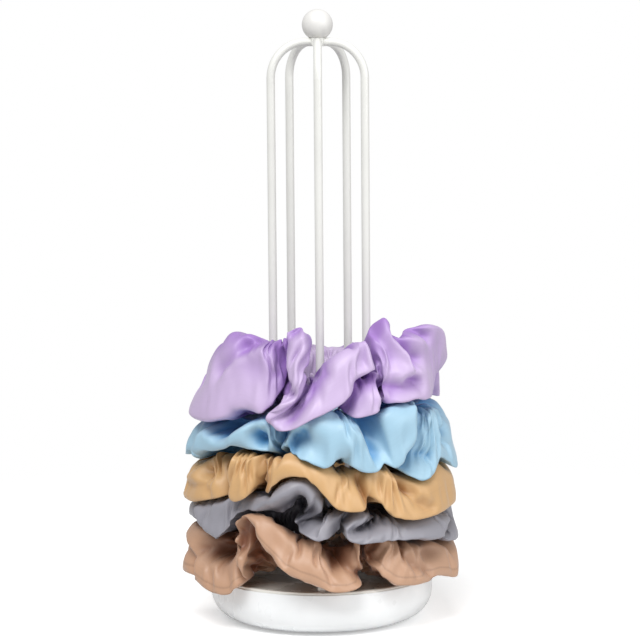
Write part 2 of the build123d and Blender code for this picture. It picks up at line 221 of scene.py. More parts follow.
# ---------------------------------------------------------------- settings a user would change
class HairTieStageSettings(bpy.types.PropertyGroup):
    """Floor, lights and camera"""

    key_power: FloatProperty(
        name="Key light", description="Power of the large soft light above the front left",
        default=19.5, min=0.0, unit="POWER")
    fill_power: FloatProperty(
        name="Fill light", description="Power of the soft light on the right",
        default=6.5, min=0.0, unit="POWER")
    room_level: FloatProperty(
        name="Room level", description="Brightness of the plain surroundings that light the object",
        default=0.36, min=0.0, max=2.0)
    floor_color: FloatVectorProperty(
        name="Floor", description="Colour of the plain pale floor",
        default=(0.93, 0.93, 0.93), size=3, subtype="COLOR", min=0.0, max=1.0)
    camera_distance: FloatProperty(
        name="Camera distance", description="From the camera to the tower's axis",
        default=1.150, min=0.2, unit="LENGTH")
    camera_height: FloatProperty(
        name="Camera height", description="Height of the camera above the floor",
        default=0.270, min=0.0, unit="LENGTH")
    camera_pitch: FloatProperty(
        name="Camera pitch", description="How far the camera looks down",
        default=radians(6.2), subtype="ANGLE")


class HairTieHolderSettings(bpy.types.PropertyGroup):
    """Finishes of the dish, the wires and the ball"""

    enamel_color: FloatVectorProperty(
        name="Enamel", description="Cool white stove enamel of the dish",
        default=(0.84, 0.86, 0.87), size=3, subtype="COLOR", min=0.0, max=1.0)
    # the tray's cream tint is partly its own enamel and partly a painted reflection of the brown scrunchie above
    # it
    tray_color: FloatVectorProperty(
        name="Tray", description="Cream enamel of the upper disc and its lip",
        default=(0.79, 0.78, 0.73), size=3, subtype="COLOR", min=0.0, max=1.0)
    wire_color: FloatVectorProperty(
        name="Wires", description="Warm white coating of the wires",
        default=(0.76, 0.76, 0.73), size=3, subtype="COLOR", min=0.0, max=1.0)
    ball_color: FloatVectorProperty(
        name="Ball", description="Pearly off-white coating of the ball",
        default=(0.74, 0.73, 0.71), size=3, subtype="COLOR", min=0.0, max=1.0)


class HairTieScrunchieSettings(bpy.types.PropertyGroup):
    """Satin colours and how the cloth is gathered"""

    brown: FloatVectorProperty(
        name="Brown satin", description="Colour of the lowest scrunchie",
        default=(0.47, 0.28, 0.18), size=3, subtype="COLOR", min=0.0, max=1.0)
    grey: FloatVectorProperty(
        name="Grey satin", description="Colour of the second scrunchie",
        default=(0.27, 0.265, 0.30), size=3, subtype="COLOR", min=0.0, max=1.0)
    gold: FloatVectorProperty(
        name="Gold satin", description="Colour of the third scrunchie",
        default=(0.575, 0.35, 0.16), size=3, subtype="COLOR", min=0.0, max=1.0)
    blue: FloatVectorProperty(
        name="Blue satin", description="Colour of the fourth scrunchie",
        default=(0.34, 0.53, 0.66), size=3, subtype="COLOR", min=0.0, max=1.0)
    lavender: FloatVectorProperty(
        name="Lavender satin", description="Colour of the top scrunchie",
        default=(0.55, 0.43, 0.65), size=3, subtype="COLOR", min=0.0, max=1.0)
    stations: IntProperty(
        name="Stations", description="Cross-sections round each scrunchie in the simulation",
        default=184, min=32, max=400)
    loops: IntProperty(
        name="Loops", description="Points round the tube of cloth in the simulation",
        default=16, min=8, max=40)
    frames: IntProperty(
        name="Frames", description="Length of the gathering simulation",
        default=20, min=4, max=80)
    lift: FloatProperty(
        name="Lift", description="How far apart the scrunchies start, one above the other",
        default=9.0 * MM, min=0.0, unit="LENGTH")
    slack: FloatProperty(
        name="Slack", description="Share of cloth beyond what the guides take up",
        default=0.03, min=0.0, max=0.5)
    hold: FloatProperty(
        name="Hold", description="How strongly the outer edge is led along its guide",
        default=0.8, min=0.0, max=1.0)
    bending: FloatProperty(
        name="Bending", description="Bending stiffness of the satin in the simulation",
        default=0.12, min=0.0)
    puff: FloatProperty(
        name="Puff", description="Slight pressure that keeps the tubes from lying quite flat",
        default=0.05)
    hole_radius: FloatProperty(
        name="Hole", description="Radius that the cloth keeps clear round the wires",
        default=25.2 * MM, min=0.0, unit="LENGTH")


# ---------------------------------------------------------------- shader maths as expressions
class Shade:
    """One socket of a material's node tree, with Python's operators adding Math nodes."""

    def __init__(self, tree, socket):
        self.tree, self.socket = tree, socket

    def _math(self, operation, *values):
        return Finish.of(self.tree).node("ShaderNodeMath", {"operation": operation}, *values)

    def __add__(self, other): return self._math("ADD", self, other)
    def __radd__(self, other): return self._math("ADD", other, self)
    def __sub__(self, other): return self._math("SUBTRACT", self, other)
    def __rsub__(self, other): return self._math("SUBTRACT", other, self)
    def __mul__(self, other): return self._math("MULTIPLY", self, other)
    def __rmul__(self, other): return self._math("MULTIPLY", other, self)
    def __truediv__(self, other): return self._math("DIVIDE", self, other)
    def __rtruediv__(self, other): return self._math("DIVIDE", other, self)
    def __pow__(self, other): return self._math("POWER", self, other)
    def __neg__(self): return self._math("MULTIPLY", self, -1.0)
    def __abs__(self): return self._math("ABSOLUTE", self)
    def sine(self): return self._math("SINE", self)
    def above(self, level): return self._math("GREATER_THAN", self, level)
    def part(self): return self._math("FRACT", self)

    def ramp(self, low, high, to_low=0.0, to_high=1.0):
        """This value's way from low to high, smoothly, as to_low to to_high."""
        return Finish.of(self.tree).node(
            "ShaderNodeMapRange", {"interpolation_type": "SMOOTHSTEP"},
            self, low, high, to_low, to_high)


class Finish:
    """A material under construction: node() makes any node, surface() closes it."""

    def __init__(self, name, tree=None):
        if tree is None:
            self.material = bpy.data.materials.new(name)
            self.material.use_nodes = True
            tree = self.material.node_tree
            tree.nodes.clear()
        self.tree = tree

    @classmethod
    def of(cls, tree):
        return cls("", tree)

    def node(self, kind, settings=None, *values, out=0, **named):
        made = self.tree.nodes.new(kind)
        for key, value in (settings or {}).items():
            if key == "stops":
                ramp = made.color_ramp
                while len(ramp.elements) < len(value):
                    ramp.elements.new(1.0)
                for element, (at, color) in zip(ramp.elements, value):
                    element.position, element.color = at, (*color, 1.0)
            else:
                setattr(made, key, value)
        wanted = list(enumerate(values)) + [(k.replace("_", " "), v) for k, v in named.items()]
        for key, value in wanted:
            self.set(made.inputs[key], value)
        return Shade(self.tree, made.outputs[out])

    def set(self, socket, value):
        if isinstance(value, Shade):
            self.tree.links.new(value.socket, socket)
        elif isinstance(value, (tuple, list)) and len(value) == 3 and socket.type == "RGBA":
            socket.default_value = (*value, 1.0)
        else:
            socket.default_value = value

    def place(self):
        """Object coordinates, which sit still on a piece in every view."""
        return self.node("ShaderNodeTexCoord", None, out="Object")

    def noise(self, at, scale, detail=2.0, roughness=0.5, distortion=0.0):
        return self.node("ShaderNodeTexNoise", None, out="Fac", Vector=at, Scale=scale,
                         Detail=detail, Roughness=roughness, Distortion=distortion)

    def blend(self, share, a, b):
        """Colour a where share is 0, b where it is 1."""
        mix = self.tree.nodes.new("ShaderNodeMix")
        mix.data_type = "RGBA"
        sockets = {s.identifier: s for s in mix.inputs}
        for key, value in (("Factor_Float", share), ("A_Color", a), ("B_Color", b)):
            self.set(sockets[key], value)
        return Shade(self.tree, next(s for s in mix.outputs if s.identifier == "Result_Color"))

    def bump(self, height, distance, strength=1.0, normal=None):
        more = {} if normal is None else {"Normal": normal}
        return self.node("ShaderNodeBump", None, out="Normal", Height=height,
                         Distance=distance, Strength=strength, **more)

    def surface(self, constants=None, **varying):
        """Principled surface: varying sockets by name, constants set on the shader itself."""
        shader = self.tree.nodes.new("ShaderNodeBsdfPrincipled")
        for key, value in (constants or {}).items():
            self.set(shader.inputs[key], value)
        for key, value in varying.items():
            self.set(shader.inputs[key.replace("_", " ")], value)
        output = self.tree.nodes.new("ShaderNodeOutputMaterial")
        self.tree.links.new(shader.outputs[0], output.inputs[0])
        return self.material


def darker(color, by):
    return tuple(c * by for c in color)


def enamel_finish(name, color, orange_peel=0.00002, gloss=0.16):
    """Stove enamel or powder coat: faint orange peel, a little cloud in colour and gloss."""
    f = Finish(name)
    at = f.place()
    cloud = f.noise(at, 60.0, 3.0, 0.55)
    peel = f.noise(at, 1400.0, 2.0, 0.5)
    speck = f.noise(at, 5200.0, 1.0, 0.5).ramp(0.70, 0.78)
    tint = f.blend(cloud.ramp(0.35, 0.7), color, darker(color, 0.965))
    tint = f.blend(speck * 0.35, tint, darker(color, 0.8))
    return f.surface(
        {"Coat Roughness": 0.06, "IOR": 1.5, "Specular IOR Level": 0.5},
        Base_Color=tint, Roughness=cloud.ramp(0.3, 0.75, gloss, gloss + 0.10),
        Coat_Weight=0.35, Normal=f.bump(peel, orange_peel, 0.55))


def pearl_finish(name, color):
    """The ball: smooth pearly coat with a soft broad highlight."""
    f = Finish(name)
    at = f.place()
    cloud = f.noise(at, 180.0, 3.0, 0.6)
    peel = f.noise(at, 2600.0, 2.0, 0.5)
    tint = f.blend(cloud.ramp(0.3, 0.75), color, darker(color, 0.94))
    return f.surface(
        {"Coat Roughness": 0.18, "Sheen Weight": 0.15, "Sheen Roughness": 0.4},
        Base_Color=tint, Roughness=cloud.ramp(0.3, 0.75, 0.40, 0.50),
        Coat_Weight=0.15, Normal=f.bump(peel, 0.00001, 0.4))


def metal_finish(name, color, roughness, metallic=1.0, grain=900.0, depth=0.00003):
    """Zinc-plated or cast metal with fine grain."""
    f = Finish(name)
    at = f.place()
    fine = f.noise(at, grain, 4.0, 0.6)
    cloud = f.noise(at, grain * 0.12, 3.0, 0.5)
    tint = f.blend(cloud.ramp(0.3, 0.7), color, darker(color, 0.8))
    return f.surface({}, Base_Color=tint, Metallic=metallic,
                     Roughness=fine.ramp(0.3, 0.7, roughness - 0.06, roughness + 0.08),
                     Normal=f.bump(fine, depth, 0.6))


def rubber_finish(name, color):
    """Moulded rubber: matt, finely pebbled, a little dusty."""
    f = Finish(name)
    at = f.place()
    pebble = f.node("ShaderNodeTexVoronoi", None, out="Distance", Vector=at, Scale=1500.0)
    dust = f.noise(at, 220.0, 4.0, 0.6)
    tint = f.blend(dust.ramp(0.5, 0.8, 0.0, 0.35), color, (0.20, 0.20, 0.20))
    return f.surface({"Specular IOR Level": 0.3}, Base_Color=tint,
                     Roughness=dust.ramp(0.3, 0.8, 0.62, 0.8), Normal=f.bump(pebble, 0.00005, 0.5))


def satin_finish(name, color, seam, seam_strength, fold_shade_power, fold_shade_level):
    """Polyester satin on the cloth's own UV map: u runs round the scrunchie, v round the tube.

    Long floats of thread run along u, so the sheen breaks up in fine streaks; soft puckers run
    across the ribbon from the gathered side, and the seam that closes the tube is a fine furrow
    with a stitch every few millimetres."""
    f = Finish(name)
    uv = f.node("ShaderNodeUVMap", {"uv_map": "cloth"}, out="UV")
    parts = f.tree.nodes.new("ShaderNodeSeparateXYZ")
    f.tree.links.new(uv.socket, parts.inputs[0])
    u, v = Shade(f.tree, parts.outputs["X"]), Shade(f.tree, parts.outputs["Y"])
    at = f.place()

    def streaks(du, dv, scale, detail=2.0):
        vector = f.node("ShaderNodeCombineXYZ", None, u * du, v * dv, 0.0)
        return f.noise(vector, scale, detail, 0.55)

    threads = streaks(40.0, 900.0, 3.0)
    slubs = streaks(7.0, 150.0, 2.0)
    puckers = streaks(260.0, 2.2, 1.0, 3.0)
    soft = f.noise(at, 75.0, 3.0, 0.5, 0.4)
    weave = ((v * 2600.0).sine() * (u * 9000.0).sine()).ramp(-1.0, 1.0)

    gathered = abs(v - 0.5).ramp(0.18, 0.5)          # 1 at the elastic, 0 at the outer edge
    off_seam = abs(v - seam)
    furrow = off_seam.ramp(0.0, 0.0075, 1.0, 0.0)
    stitch = ((u * 300.0).part()).ramp(0.30, 0.42) * off_seam.ramp(0.0, 0.004, 1.0, 0.0)
    pull = off_seam.ramp(0.0, 0.05, 1.0, 0.0) * streaks(420.0, 3.0, 1.0)

    fold_depth = f.node("ShaderNodeAttribute", {"attribute_name": "fold_depth"}, out="Fac")
    tint = f.blend(slubs.ramp(0.4, 0.8, 0.0, 0.35), color, darker(color, 0.90))
    tint = f.blend(soft.ramp(0.45, 0.75, 0.0, 0.30), tint, tuple(min(1.0, c * 1.06) for c in color))
    # painted shade: the colour turns darker and more saturated deep in the folds, standing in for shade and for
    # light bounced between folds
    tint = f.blend(fold_depth.ramp(0.05, 0.8, 0.0, 0.85), tint, tuple(fold_shade_level * c ** fold_shade_power for c in color))
    tint = f.blend(furrow * (0.55 * seam_strength), tint, darker(color, 0.45))
    tint = f.blend(stitch * (0.5 * seam_strength), tint, darker(color, 0.65))
    height = (puckers * (gathered * 0.8 + 0.10) + soft * 0.35 + pull * (0.6 * seam_strength)
              - furrow * (0.6 * seam_strength) + stitch * (0.3 * seam_strength))
    normal = f.bump(height, 0.00045, 0.65)
    normal = f.bump(threads * 0.7 + weave * 0.3, 0.00003, 0.5, normal)
    return f.surface(
        {"Sheen Weight": 0.20, "Sheen Roughness": 0.35, "Anisotropic": 0.5, "IOR": 1.5,
         "Specular IOR Level": 0.5},
        Base_Color=tint, Roughness=threads.ramp(0.25, 0.8, 0.38, 0.50) + slubs * 0.04,
        Normal=normal)


# ---------------------------------------------------------------- common steps
def dress(obj, material):
    obj.data.materials.clear()
    obj.data.materials.append(material)


def add_piece(name, bm, material, body, replaces=(), smooth=True):
    """Puts a finished bmesh into the scene as a piece that rides on a body."""
    mesh = bpy.data.meshes.new(name)
    bm.to_mesh(mesh)
    bm.free()
    mesh.polygons.foreach_set("use_smooth", [smooth] * len(mesh.polygons))
    mesh.update()
    obj = bpy.data.objects.new(name, mesh)
    bpy.context.scene.collection.objects.link(obj)
    dress(obj, material)
    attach(obj, body)
    if replaces:
        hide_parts(*replaces)
    return obj


def turned(bm, profile, steps=96):
    """Spins a profile of (radius, height) points round the tower's axis into a closed skin."""
    points = [bm.verts.new((r, 0.0, z)) for r, z in profile]
    edges = [bm.edges.new(pair) for pair in zip(points, points[1:])]
    bmesh.ops.spin(bm, geom=points + edges, cent=(0, 0, 0), axis=(0, 0, 1), dvec=(0, 0, 0),
                   angle=2 * pi, steps=steps, use_merge=True, use_duplicate=False)
    bmesh.ops.remove_doubles(bm, verts=bm.verts, dist=1e-6)
    bmesh.ops.recalc_face_normals(bm, faces=bm.faces)


# ---------------------------------------------------------------- cloth guides
def back_stations(low, high, crest, seed, count=12):
    """Folds for the side that faces away: the edge swings up and down between low and high."""
    draw = np.random.default_rng(seed)
    rows = []
    for k, bearing in enumerate(np.linspace(106, 262, count)):
        bearing += draw.uniform(-3, 3)
        if k % 2:
            rows.append((bearing, crest + 2 + draw.uniform(-1, 2),
                         low + (high - low) * draw.uniform(0.2, 0.4),
                         bearing, crest - 7 + draw.uniform(-2, 2), high + 1))
        else:
            rows.append((bearing, crest + 7 + draw.uniform(-1, 1.5), low + draw.uniform(0, 3),
                         bearing, crest + draw.uniform(-1, 1), high + 3))
    return rows


def smooth_loop(points, count):
    """Evenly spaced points on a closed Catmull-Rom curve, and its share of length at each."""
    table = []
    n = len(points)
    steps = np.linspace(0, 1, 12, endpoint=False)[:, None]
    for i in range(n):
        a, b, c, d = (points[(i + k) % n] for k in (-1, 0, 1, 2))
        table.append(0.5 * (2 * b + (c - a) * steps + (2 * a - 5 * b + 4 * c - d) * steps ** 2
                            + (3 * b - a - 3 * c + d) * steps ** 3))
    table = np.vstack(table)
    closed = np.vstack([table, table[:1]])
    run = np.concatenate([[0], np.cumsum(np.linalg.norm(np.diff(closed[:, :3], axis=0), axis=1))])
    at = np.linspace(0, run[-1], count, endpoint=False)
    return np.stack([np.interp(at, run, closed[:, k]) for k in range(closed.shape[1])], 1), run[-1]


def around(bearing, radius, height):
    b = np.radians(bearing)
    return np.stack([radius * np.sin(b), -radius * np.cos(b), height], -1)


def guide_surface(name, stations, loops, hole):
    """Place of every (station, loop) point of a scrunchie's guide, in millimetres.

    A section runs from the elastic over the crest to the outer edge, and back underneath."""
    front, elastic, puffed, low, high, outer = STACK[name]
    rows = front + back_stations(low, high, outer, 11 + len(name))
    rows = np.array([row if len(row) == 9 else (*row, row[0], 0.72 * row[1], row[2] - 1)
                     for row in rows], float)
    corners = np.hstack([around(*rows[:, k:k + 3].T) for k in (0, 3, 6)])
    edge, crest, under = np.split(smooth_loop(corners, stations)[0], 3, axis=1)
    # the gathered side follows the edge's bearing, evened out so that it never turns back
    bearing = np.unwrap(np.arctan2(edge[:, 0], -edge[:, 1]))
    even = np.arange(stations) * 2 * pi / stations
    width = stations // 7
    kernel = np.hanning(2 * width + 1)
    kernel /= kernel.sum()
    turns = bearing - even
    turns = np.convolve(np.concatenate([turns[-width:], turns, turns[:width]]), kernel, "valid")
    bearing = np.maximum.accumulate(turns + even)
    inner = around(np.degrees(bearing), np.full(stations, hole), np.full(stations, float(elastic)))
    out = np.stack([np.sin(bearing), -np.cos(bearing), np.zeros(stations)], 1)
    up = np.array((0.0, 0.0, 0.5 * puffed))
    bulge = (crest + edge) / 2 + 1.5 * out
    half = loops // 2

    def path(*corners):
        """Even points along a rounded run through corners, per station."""
        run = np.stack(corners, 1)
        fine = np.concatenate([run[:, i:i + 1] + (run[:, i + 1:i + 2] - run[:, i:i + 1])
                               * np.linspace(0, 1, 12, endpoint=False)[None, :, None]
                               for i in range(len(corners) - 1)] + [run[:, -1:]], 1)
        for _ in range(14):                          # rounds the corners, keeps both ends
            fine[:, 1:-1] = (fine[:, :-2] + 2 * fine[:, 1:-1] + fine[:, 2:]) / 4
        length = np.linalg.norm(np.diff(fine, axis=1), axis=2).cumsum(1)
        length = np.concatenate([np.zeros((stations, 1)), length], 1)
        return np.stack([np.stack([np.interp(np.linspace(0, row[-1], half + 1), row, line[:, axis])
                                   for axis in range(3)], 1) for row, line in zip(length, fine)])

    over = path(inner, inner + up + out, crest, bulge, edge)
    back = path(edge, under, inner - up + out, inner)
    surface = np.concatenate([over[:, :-1], back[:, :-1]], 1)
    across = ((1 - np.cos(2 * pi * np.arange(loops) / loops)) / 2)[None, :, None]
    over = (np.arange(loops) <= half)[None, :, None]
    # gathers: pleats that start at the elastic and die out towards the edge
    draw = np.random.default_rng(31 + len(name))
    share = np.arange(stations) / stations
    pleats = sum(draw.uniform(0.5, 1.0) * np.sin(2 * pi * (n * share + draw.uniform()))
                 for n in (23, 31, 37, 44))
    depth = (across * (1 - across))[..., 0] * 4 * (1 - across[..., 0]) * np.where(over[..., 0], 1.0, -0.4)
    surface[..., 2] += 0.8 * pleats[:, None] * depth
    return surface


def gather(settings):
    """Simulates all five satin tubes at once and returns name: points (stations, loops, 3).

    The tubes start on their guides, held apart one above the other, with a few percent more cloth
    than the guides take up. They are lowered on to each other and settle in soft folds: the
    elastic's side is held, the outer edge and the crest are led by soft springs, and gravity and
    self collision between all five do the rest. The simulation runs ten times as large as life."""
    stations, loops = settings.stations, settings.loops
    scale, lift = 0.01, settings.lift / MM           # simulation units per millimetre
    bm = bmesh.new()
    index, goal = [], []
    for k, name in enumerate(STACK):
        points = guide_surface(name, stations, loops, settings.hole_radius / MM + 1.4)
        ring, where = tube(stations, loops)
        mesh = bpy.data.meshes.new("ring")
        ring.to_mesh(mesh)
        ring.free()
        index.append(where + len(bm.verts))
        bm.from_mesh(mesh)
        bm.verts.ensure_lookup_table()
        goal.append(points)
    bm.verts.index_update()
    mesh = bpy.data.meshes.new("gathering")
    bm.to_mesh(mesh)
    bm.free()
    count = len(mesh.vertices)
    end = np.zeros((count, 3))
    start = np.zeros((count, 3))
    for k, points in enumerate(goal):
        end[index[k].ravel()] = points.reshape(-1, 3)
        start[index[k].ravel()] = points.reshape(-1, 3) + (0, 0, 1.0 + k * lift)
    mesh.vertices.foreach_set("co", (start * scale).ravel())
    cloth = bpy.data.objects.new("gathering", mesh)
    scene = bpy.context.scene
    scene.collection.objects.link(cloth)
    pins = cloth.vertex_groups.new(name="pins")
    half = loops // 2
    holds = {j: settings.hold * 0.25 for j in range(1, loops)}
    holds.update({0: 1.0, half: settings.hold, half - 1: settings.hold * 0.6})
    holds.update({j: settings.hold * 0.6 for j in (loops // 4, loops // 4 + 1)})
    for j, share in holds.items():
        pins.add([int(i) for k in range(len(STACK)) for i in index[k][:, j]], share, "REPLACE")
    cloth.shape_key_add(name="apart")
    key = cloth.shape_key_add(name="stacked")
    key.data.foreach_set("co", (end * scale).ravel())

    fabric = cloth.modifiers.new("Cloth", "CLOTH").settings
    fabric.quality, fabric.mass, fabric.air_damping = 4, 0.15, 1.0
    fabric.tension_stiffness, fabric.compression_stiffness = 15, 15
    fabric.shear_stiffness, fabric.bending_stiffness = 5, settings.bending
    fabric.tension_damping = fabric.compression_damping = fabric.shear_damping = 5
    fabric.vertex_group_mass, fabric.pin_stiffness = "pins", 1
    fabric.shrink_min = -settings.slack
    fabric.use_pressure, fabric.uniform_pressure_force = True, settings.puff
    fabric.effector_weights.gravity = 0.3
    touch = cloth.modifiers["Cloth"].collision_settings
    touch.collision_quality, touch.distance_min = 2, 0.01
    touch.use_self_collision, touch.self_distance_min, touch.self_friction = True, 0.014, 2

    blocks = [cloth]
    tray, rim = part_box("tray_plate")[1].z / MM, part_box("bowl_shell")[1].x / MM
    core = settings.hole_radius / MM - 0.6
    for profile in ([(0.5, tray + 1), (rim - 1, tray + 1), (rim + 0.6, tray - 2), (rim + 0.6, 0), (0.5, 0)],
                    [(core, 5), (core, 260)]):
        block = bmesh.new()
        turned(block, [(r * scale, z * scale) for r, z in profile], 48)
        shape = bpy.data.meshes.new("block")
        block.to_mesh(shape)
        block.free()
        obj = bpy.data.objects.new("block", shape)
        scene.collection.objects.link(obj)
        obj.modifiers.new("Collision", "COLLISION")
        obj.collision.thickness_outer, obj.collision.cloth_friction = 0.01, 5
        blocks.append(obj)

    cloth.modifiers["Cloth"].point_cache.frame_start = 1
    cloth.modifiers["Cloth"].point_cache.frame_end = settings.frames
    scene.frame_start, scene.frame_end = 1, settings.frames
    key.value = 0.0
    key.keyframe_insert("value", frame=1)
    key.value = 1.0
    key.keyframe_insert("value", frame=int(settings.frames * 0.7))
    for step in range(1, settings.frames + 1):
        scene.frame_set(step)
    depsgraph = bpy.context.evaluated_depsgraph_get()
    settled = cloth.evaluated_get(depsgraph).to_mesh()
    out = np.zeros(count * 3)
    settled.vertices.foreach_get("co", out)
    out = out.reshape(-1, 3) / scale
    cloth.evaluated_get(depsgraph).to_mesh_clear()
    for obj in blocks:
        bpy.data.objects.remove(obj)
    scene.frame_set(1)
    return {name: out[index[k]] for k, name in enumerate(STACK)}


def finer(points, stations, loops):
    """The same closed surface with more stations and loops, along smooth curves both ways."""
    for axis, count in ((0, stations), (1, loops)):
        n = points.shape[axis]
        at = np.arange(count) * n / count
        low = np.floor(at).astype(int)
        t = (at - low).reshape((-1, 1, 1) if axis == 0 else (1, -1, 1))
        a, b, c, d = (np.take(points, (low + k) % n, axis=axis) for k in (-1, 0, 1, 2))
        points = 0.5 * (2 * b + (c - a) * t + (2 * a - 5 * b + 4 * c - d) * t ** 2
                        + (3 * b - a - 3 * c + d) * t ** 3)
    return points


def crumple(name, points):
    """Presses a scrunchie's pockets into its outside and draws cloth in beside its edges; also returns each
    point's share of painted shade, larger deep in folds and pockets.
    """
    radius = np.hypot(points[..., 0], points[..., 1])
    bearing = np.degrees(np.arctan2(points[..., 0], -points[..., 1]))
    height = points[..., 2]
    push = np.zeros_like(radius)
    for middle, level, long, wide, rise, deep in DENTS[name]:
        aside = np.radians(bearing - middle) * 61.0
        above = height - level
        along = aside * cos(radians(rise)) + above * sin(radians(rise))
        aslant = above * cos(radians(rise)) - aside * sin(radians(rise))
        across = aslant / max(wide, 1.4)
        push = np.maximum(push, 1.15 * deep * np.exp(-np.abs(along / long) ** 3 - across ** 2))
    lip = np.zeros_like(radius)
    for deep, wide, line in CREASES[name]:
        way = np.array(line, float)
        way[:, 0] = np.radians(way[:, 0]) * 61.0
        here = np.stack([np.radians(bearing) * 61.0, height], -1)
        nearest = np.full(radius.shape, 1e9)
        side, past = np.zeros_like(radius), np.zeros_like(radius)
        for k, (a, b) in enumerate(zip(way, way[1:])):
            run = b - a
            share = ((here - a) @ run) / (run @ run)
            foot = a + np.clip(share, 0, 1)[..., None] * run
            gap = np.linalg.norm(here - foot, axis=-1)
            over = np.zeros_like(gap)
            if k == 0:
                over = np.maximum(over, -share * np.linalg.norm(run))
            if k == len(way) - 2:
                over = np.maximum(over, (share - 1) * np.linalg.norm(run))
            turn = run[1] * (here[..., 0] - a[0]) - run[0] * (here[..., 1] - a[1])
            closer = gap < nearest
            side = np.where(closer, np.sign(turn) * gap * np.sign(deep), side)
            past = np.where(closer, over, past)
            nearest = np.minimum(nearest, gap)
        fade = np.exp(-(np.maximum(past, 0) / 2.5) ** 2)
        step = np.clip((side + 0.9) / 2.4, 0, 1)
        step = step * step * (3 - 2 * step) * np.exp(-(np.maximum(side - 1.5, 0) / wide) ** 2)
        push = np.maximum(push, abs(deep) * step * fade)
        lip = np.maximum(lip, 1.0 * fade * np.exp(-((side + 2.2) / 1.5) ** 2))
    outside = np.clip((radius - 42) / 10, 0, 1) * (np.abs(bearing) < 100)
    moved = (lip * np.clip(1 - push, 0, 1) - push) * outside
    points = points.copy()
    points[..., :2] *= ((radius + moved) / np.maximum(radius, 1))[..., None]
    # painted shade: from 0 to 1, more where the cloth lies further in than 60 mm from the axis and where pockets
    # are pressed, fading out towards the inner gathers
    deep = np.clip(np.maximum((60 - radius - moved) / 17, push * outside / 11), 0, 1)
    deep *= np.clip((radius - 32) / 14, 0, 1)
    return points, deep


def tube(stations, loops):
    """A closed ring of tube as a bmesh with its UV map, and vertex numbers by (station, loop)."""
    bm = bmesh.new()
    circle = bmesh.ops.create_circle(bm, segments=loops, radius=1.0)["verts"]
    for vert in circle:                              # an upright circle at the front
        x, z = vert.co.x, vert.co.y
        vert.co = Vector((0.0, -(3.0 + x), z))
    bmesh.ops.spin(bm, geom=circle + list(bm.edges), cent=(0, 0, 0), axis=(0, 0, 1), dvec=(0, 0, 0),
                   angle=2 * pi, steps=stations, use_merge=True, use_duplicate=False)
    bmesh.ops.recalc_face_normals(bm, faces=bm.faces)
    bm.verts.index_update()
    cell = {}
    where = np.zeros((stations, loops), int)
    for vert in bm.verts:
        bearing = atan2(vert.co.x, -vert.co.y) % (2 * pi)
        x = vert.co.xy.length - 3.0
        i = round(bearing / (2 * pi) * stations) % stations
        j = round((atan2(vert.co.z, -x) % (2 * pi)) / (2 * pi) * loops) % loops
        cell[vert] = (i, j)
        where[i, j] = vert.index
    layer = bm.loops.layers.uv.new("cloth")
    for face in bm.faces:
        cells = [cell[loop.vert] for loop in face.loops]
        wrap_i = max(c[0] for c in cells) - min(c[0] for c in cells) > stations / 2
        wrap_j = max(c[1] for c in cells) - min(c[1] for c in cells) > loops / 2
        for loop, (i, j) in zip(face.loops, cells):
            i += stations if wrap_i and i < stations / 2 else 0
            j += loops if wrap_j and j < loops / 2 else 0
            loop[layer].uv = (i / stations, j / loops)
    return bm, where


def cloth_mesh(points, deep):
    """A tube of (station, loop) points in millimetres as a bmesh with its UV map, and each point's share of
    painted shade in the folds.
    """
    bm, where = tube(*points.shape[:2])
    bm.verts.ensure_lookup_table()
    # painted shade in the folds, kept on each point for the satin's colour
    fold_depth = bm.verts.layers.float.new("fold_depth")
    for number, point, share in zip(where.ravel(), points.reshape(-1, 3), deep.ravel()):
        bm.verts[number].co = Vector(point) * MM
        bm.verts[number][fold_depth] = share
    fold = {int(i) for i in where[:, points.shape[1] // 2]}
    crease = bm.edges.layers.float.new("crease_edge")
    for edge in bm.edges:
        if edge.verts[0].index in fold and edge.verts[1].index in fold:
            edge[crease] = 0.55
    return bm


# ---------------------------------------------------------------- operators
class HAIRTIE_OT_holder_finishes(bpy.types.Operator):
    """Enamel, coating, steel and rubber on the dish, the wires and what holds them together"""

    bl_idname = "hairtie.holder_finishes"
    bl_label = "Finish the holder"

    def execute(self, context):
        s = context.scene.hairtie_holder
        enamel = enamel_finish("base_enamel", tuple(s.enamel_color), gloss=0.26)
        # cream tint: partly the tray's own enamel, partly a painted reflection of the brown scrunchie above it
        tray = enamel_finish("tray_enamel", tuple(s.tray_color), gloss=0.22)
        coating = enamel_finish("wire_coating", tuple(s.wire_color), 0.00001, 0.28)
        zinc = metal_finish("zinc_steel", (0.62, 0.62, 0.60), 0.32)
        looks = {
            "bowl_shell": enamel, "tray_plate": tray, "tray_boss": tray, "tower_hub": coating,
            "finial_ball": pearl_finish("ball_coating", tuple(s.ball_color)),
            "base_weight": metal_finish("cast_iron", (0.10, 0.10, 0.11), 0.62, 0.7, 500.0, 0.0002),
            "base_screw": zinc, "screw_washer": zinc, "finial_stud": zinc,
            "foot_pad": rubber_finish("foot_rubber", (0.030, 0.030, 0.032)),
        }
        for wire in WIRE_NODES:
            looks[wire] = coating
        for node, material in looks.items():
            dress(NODES[node], material)
        return {"FINISHED"}


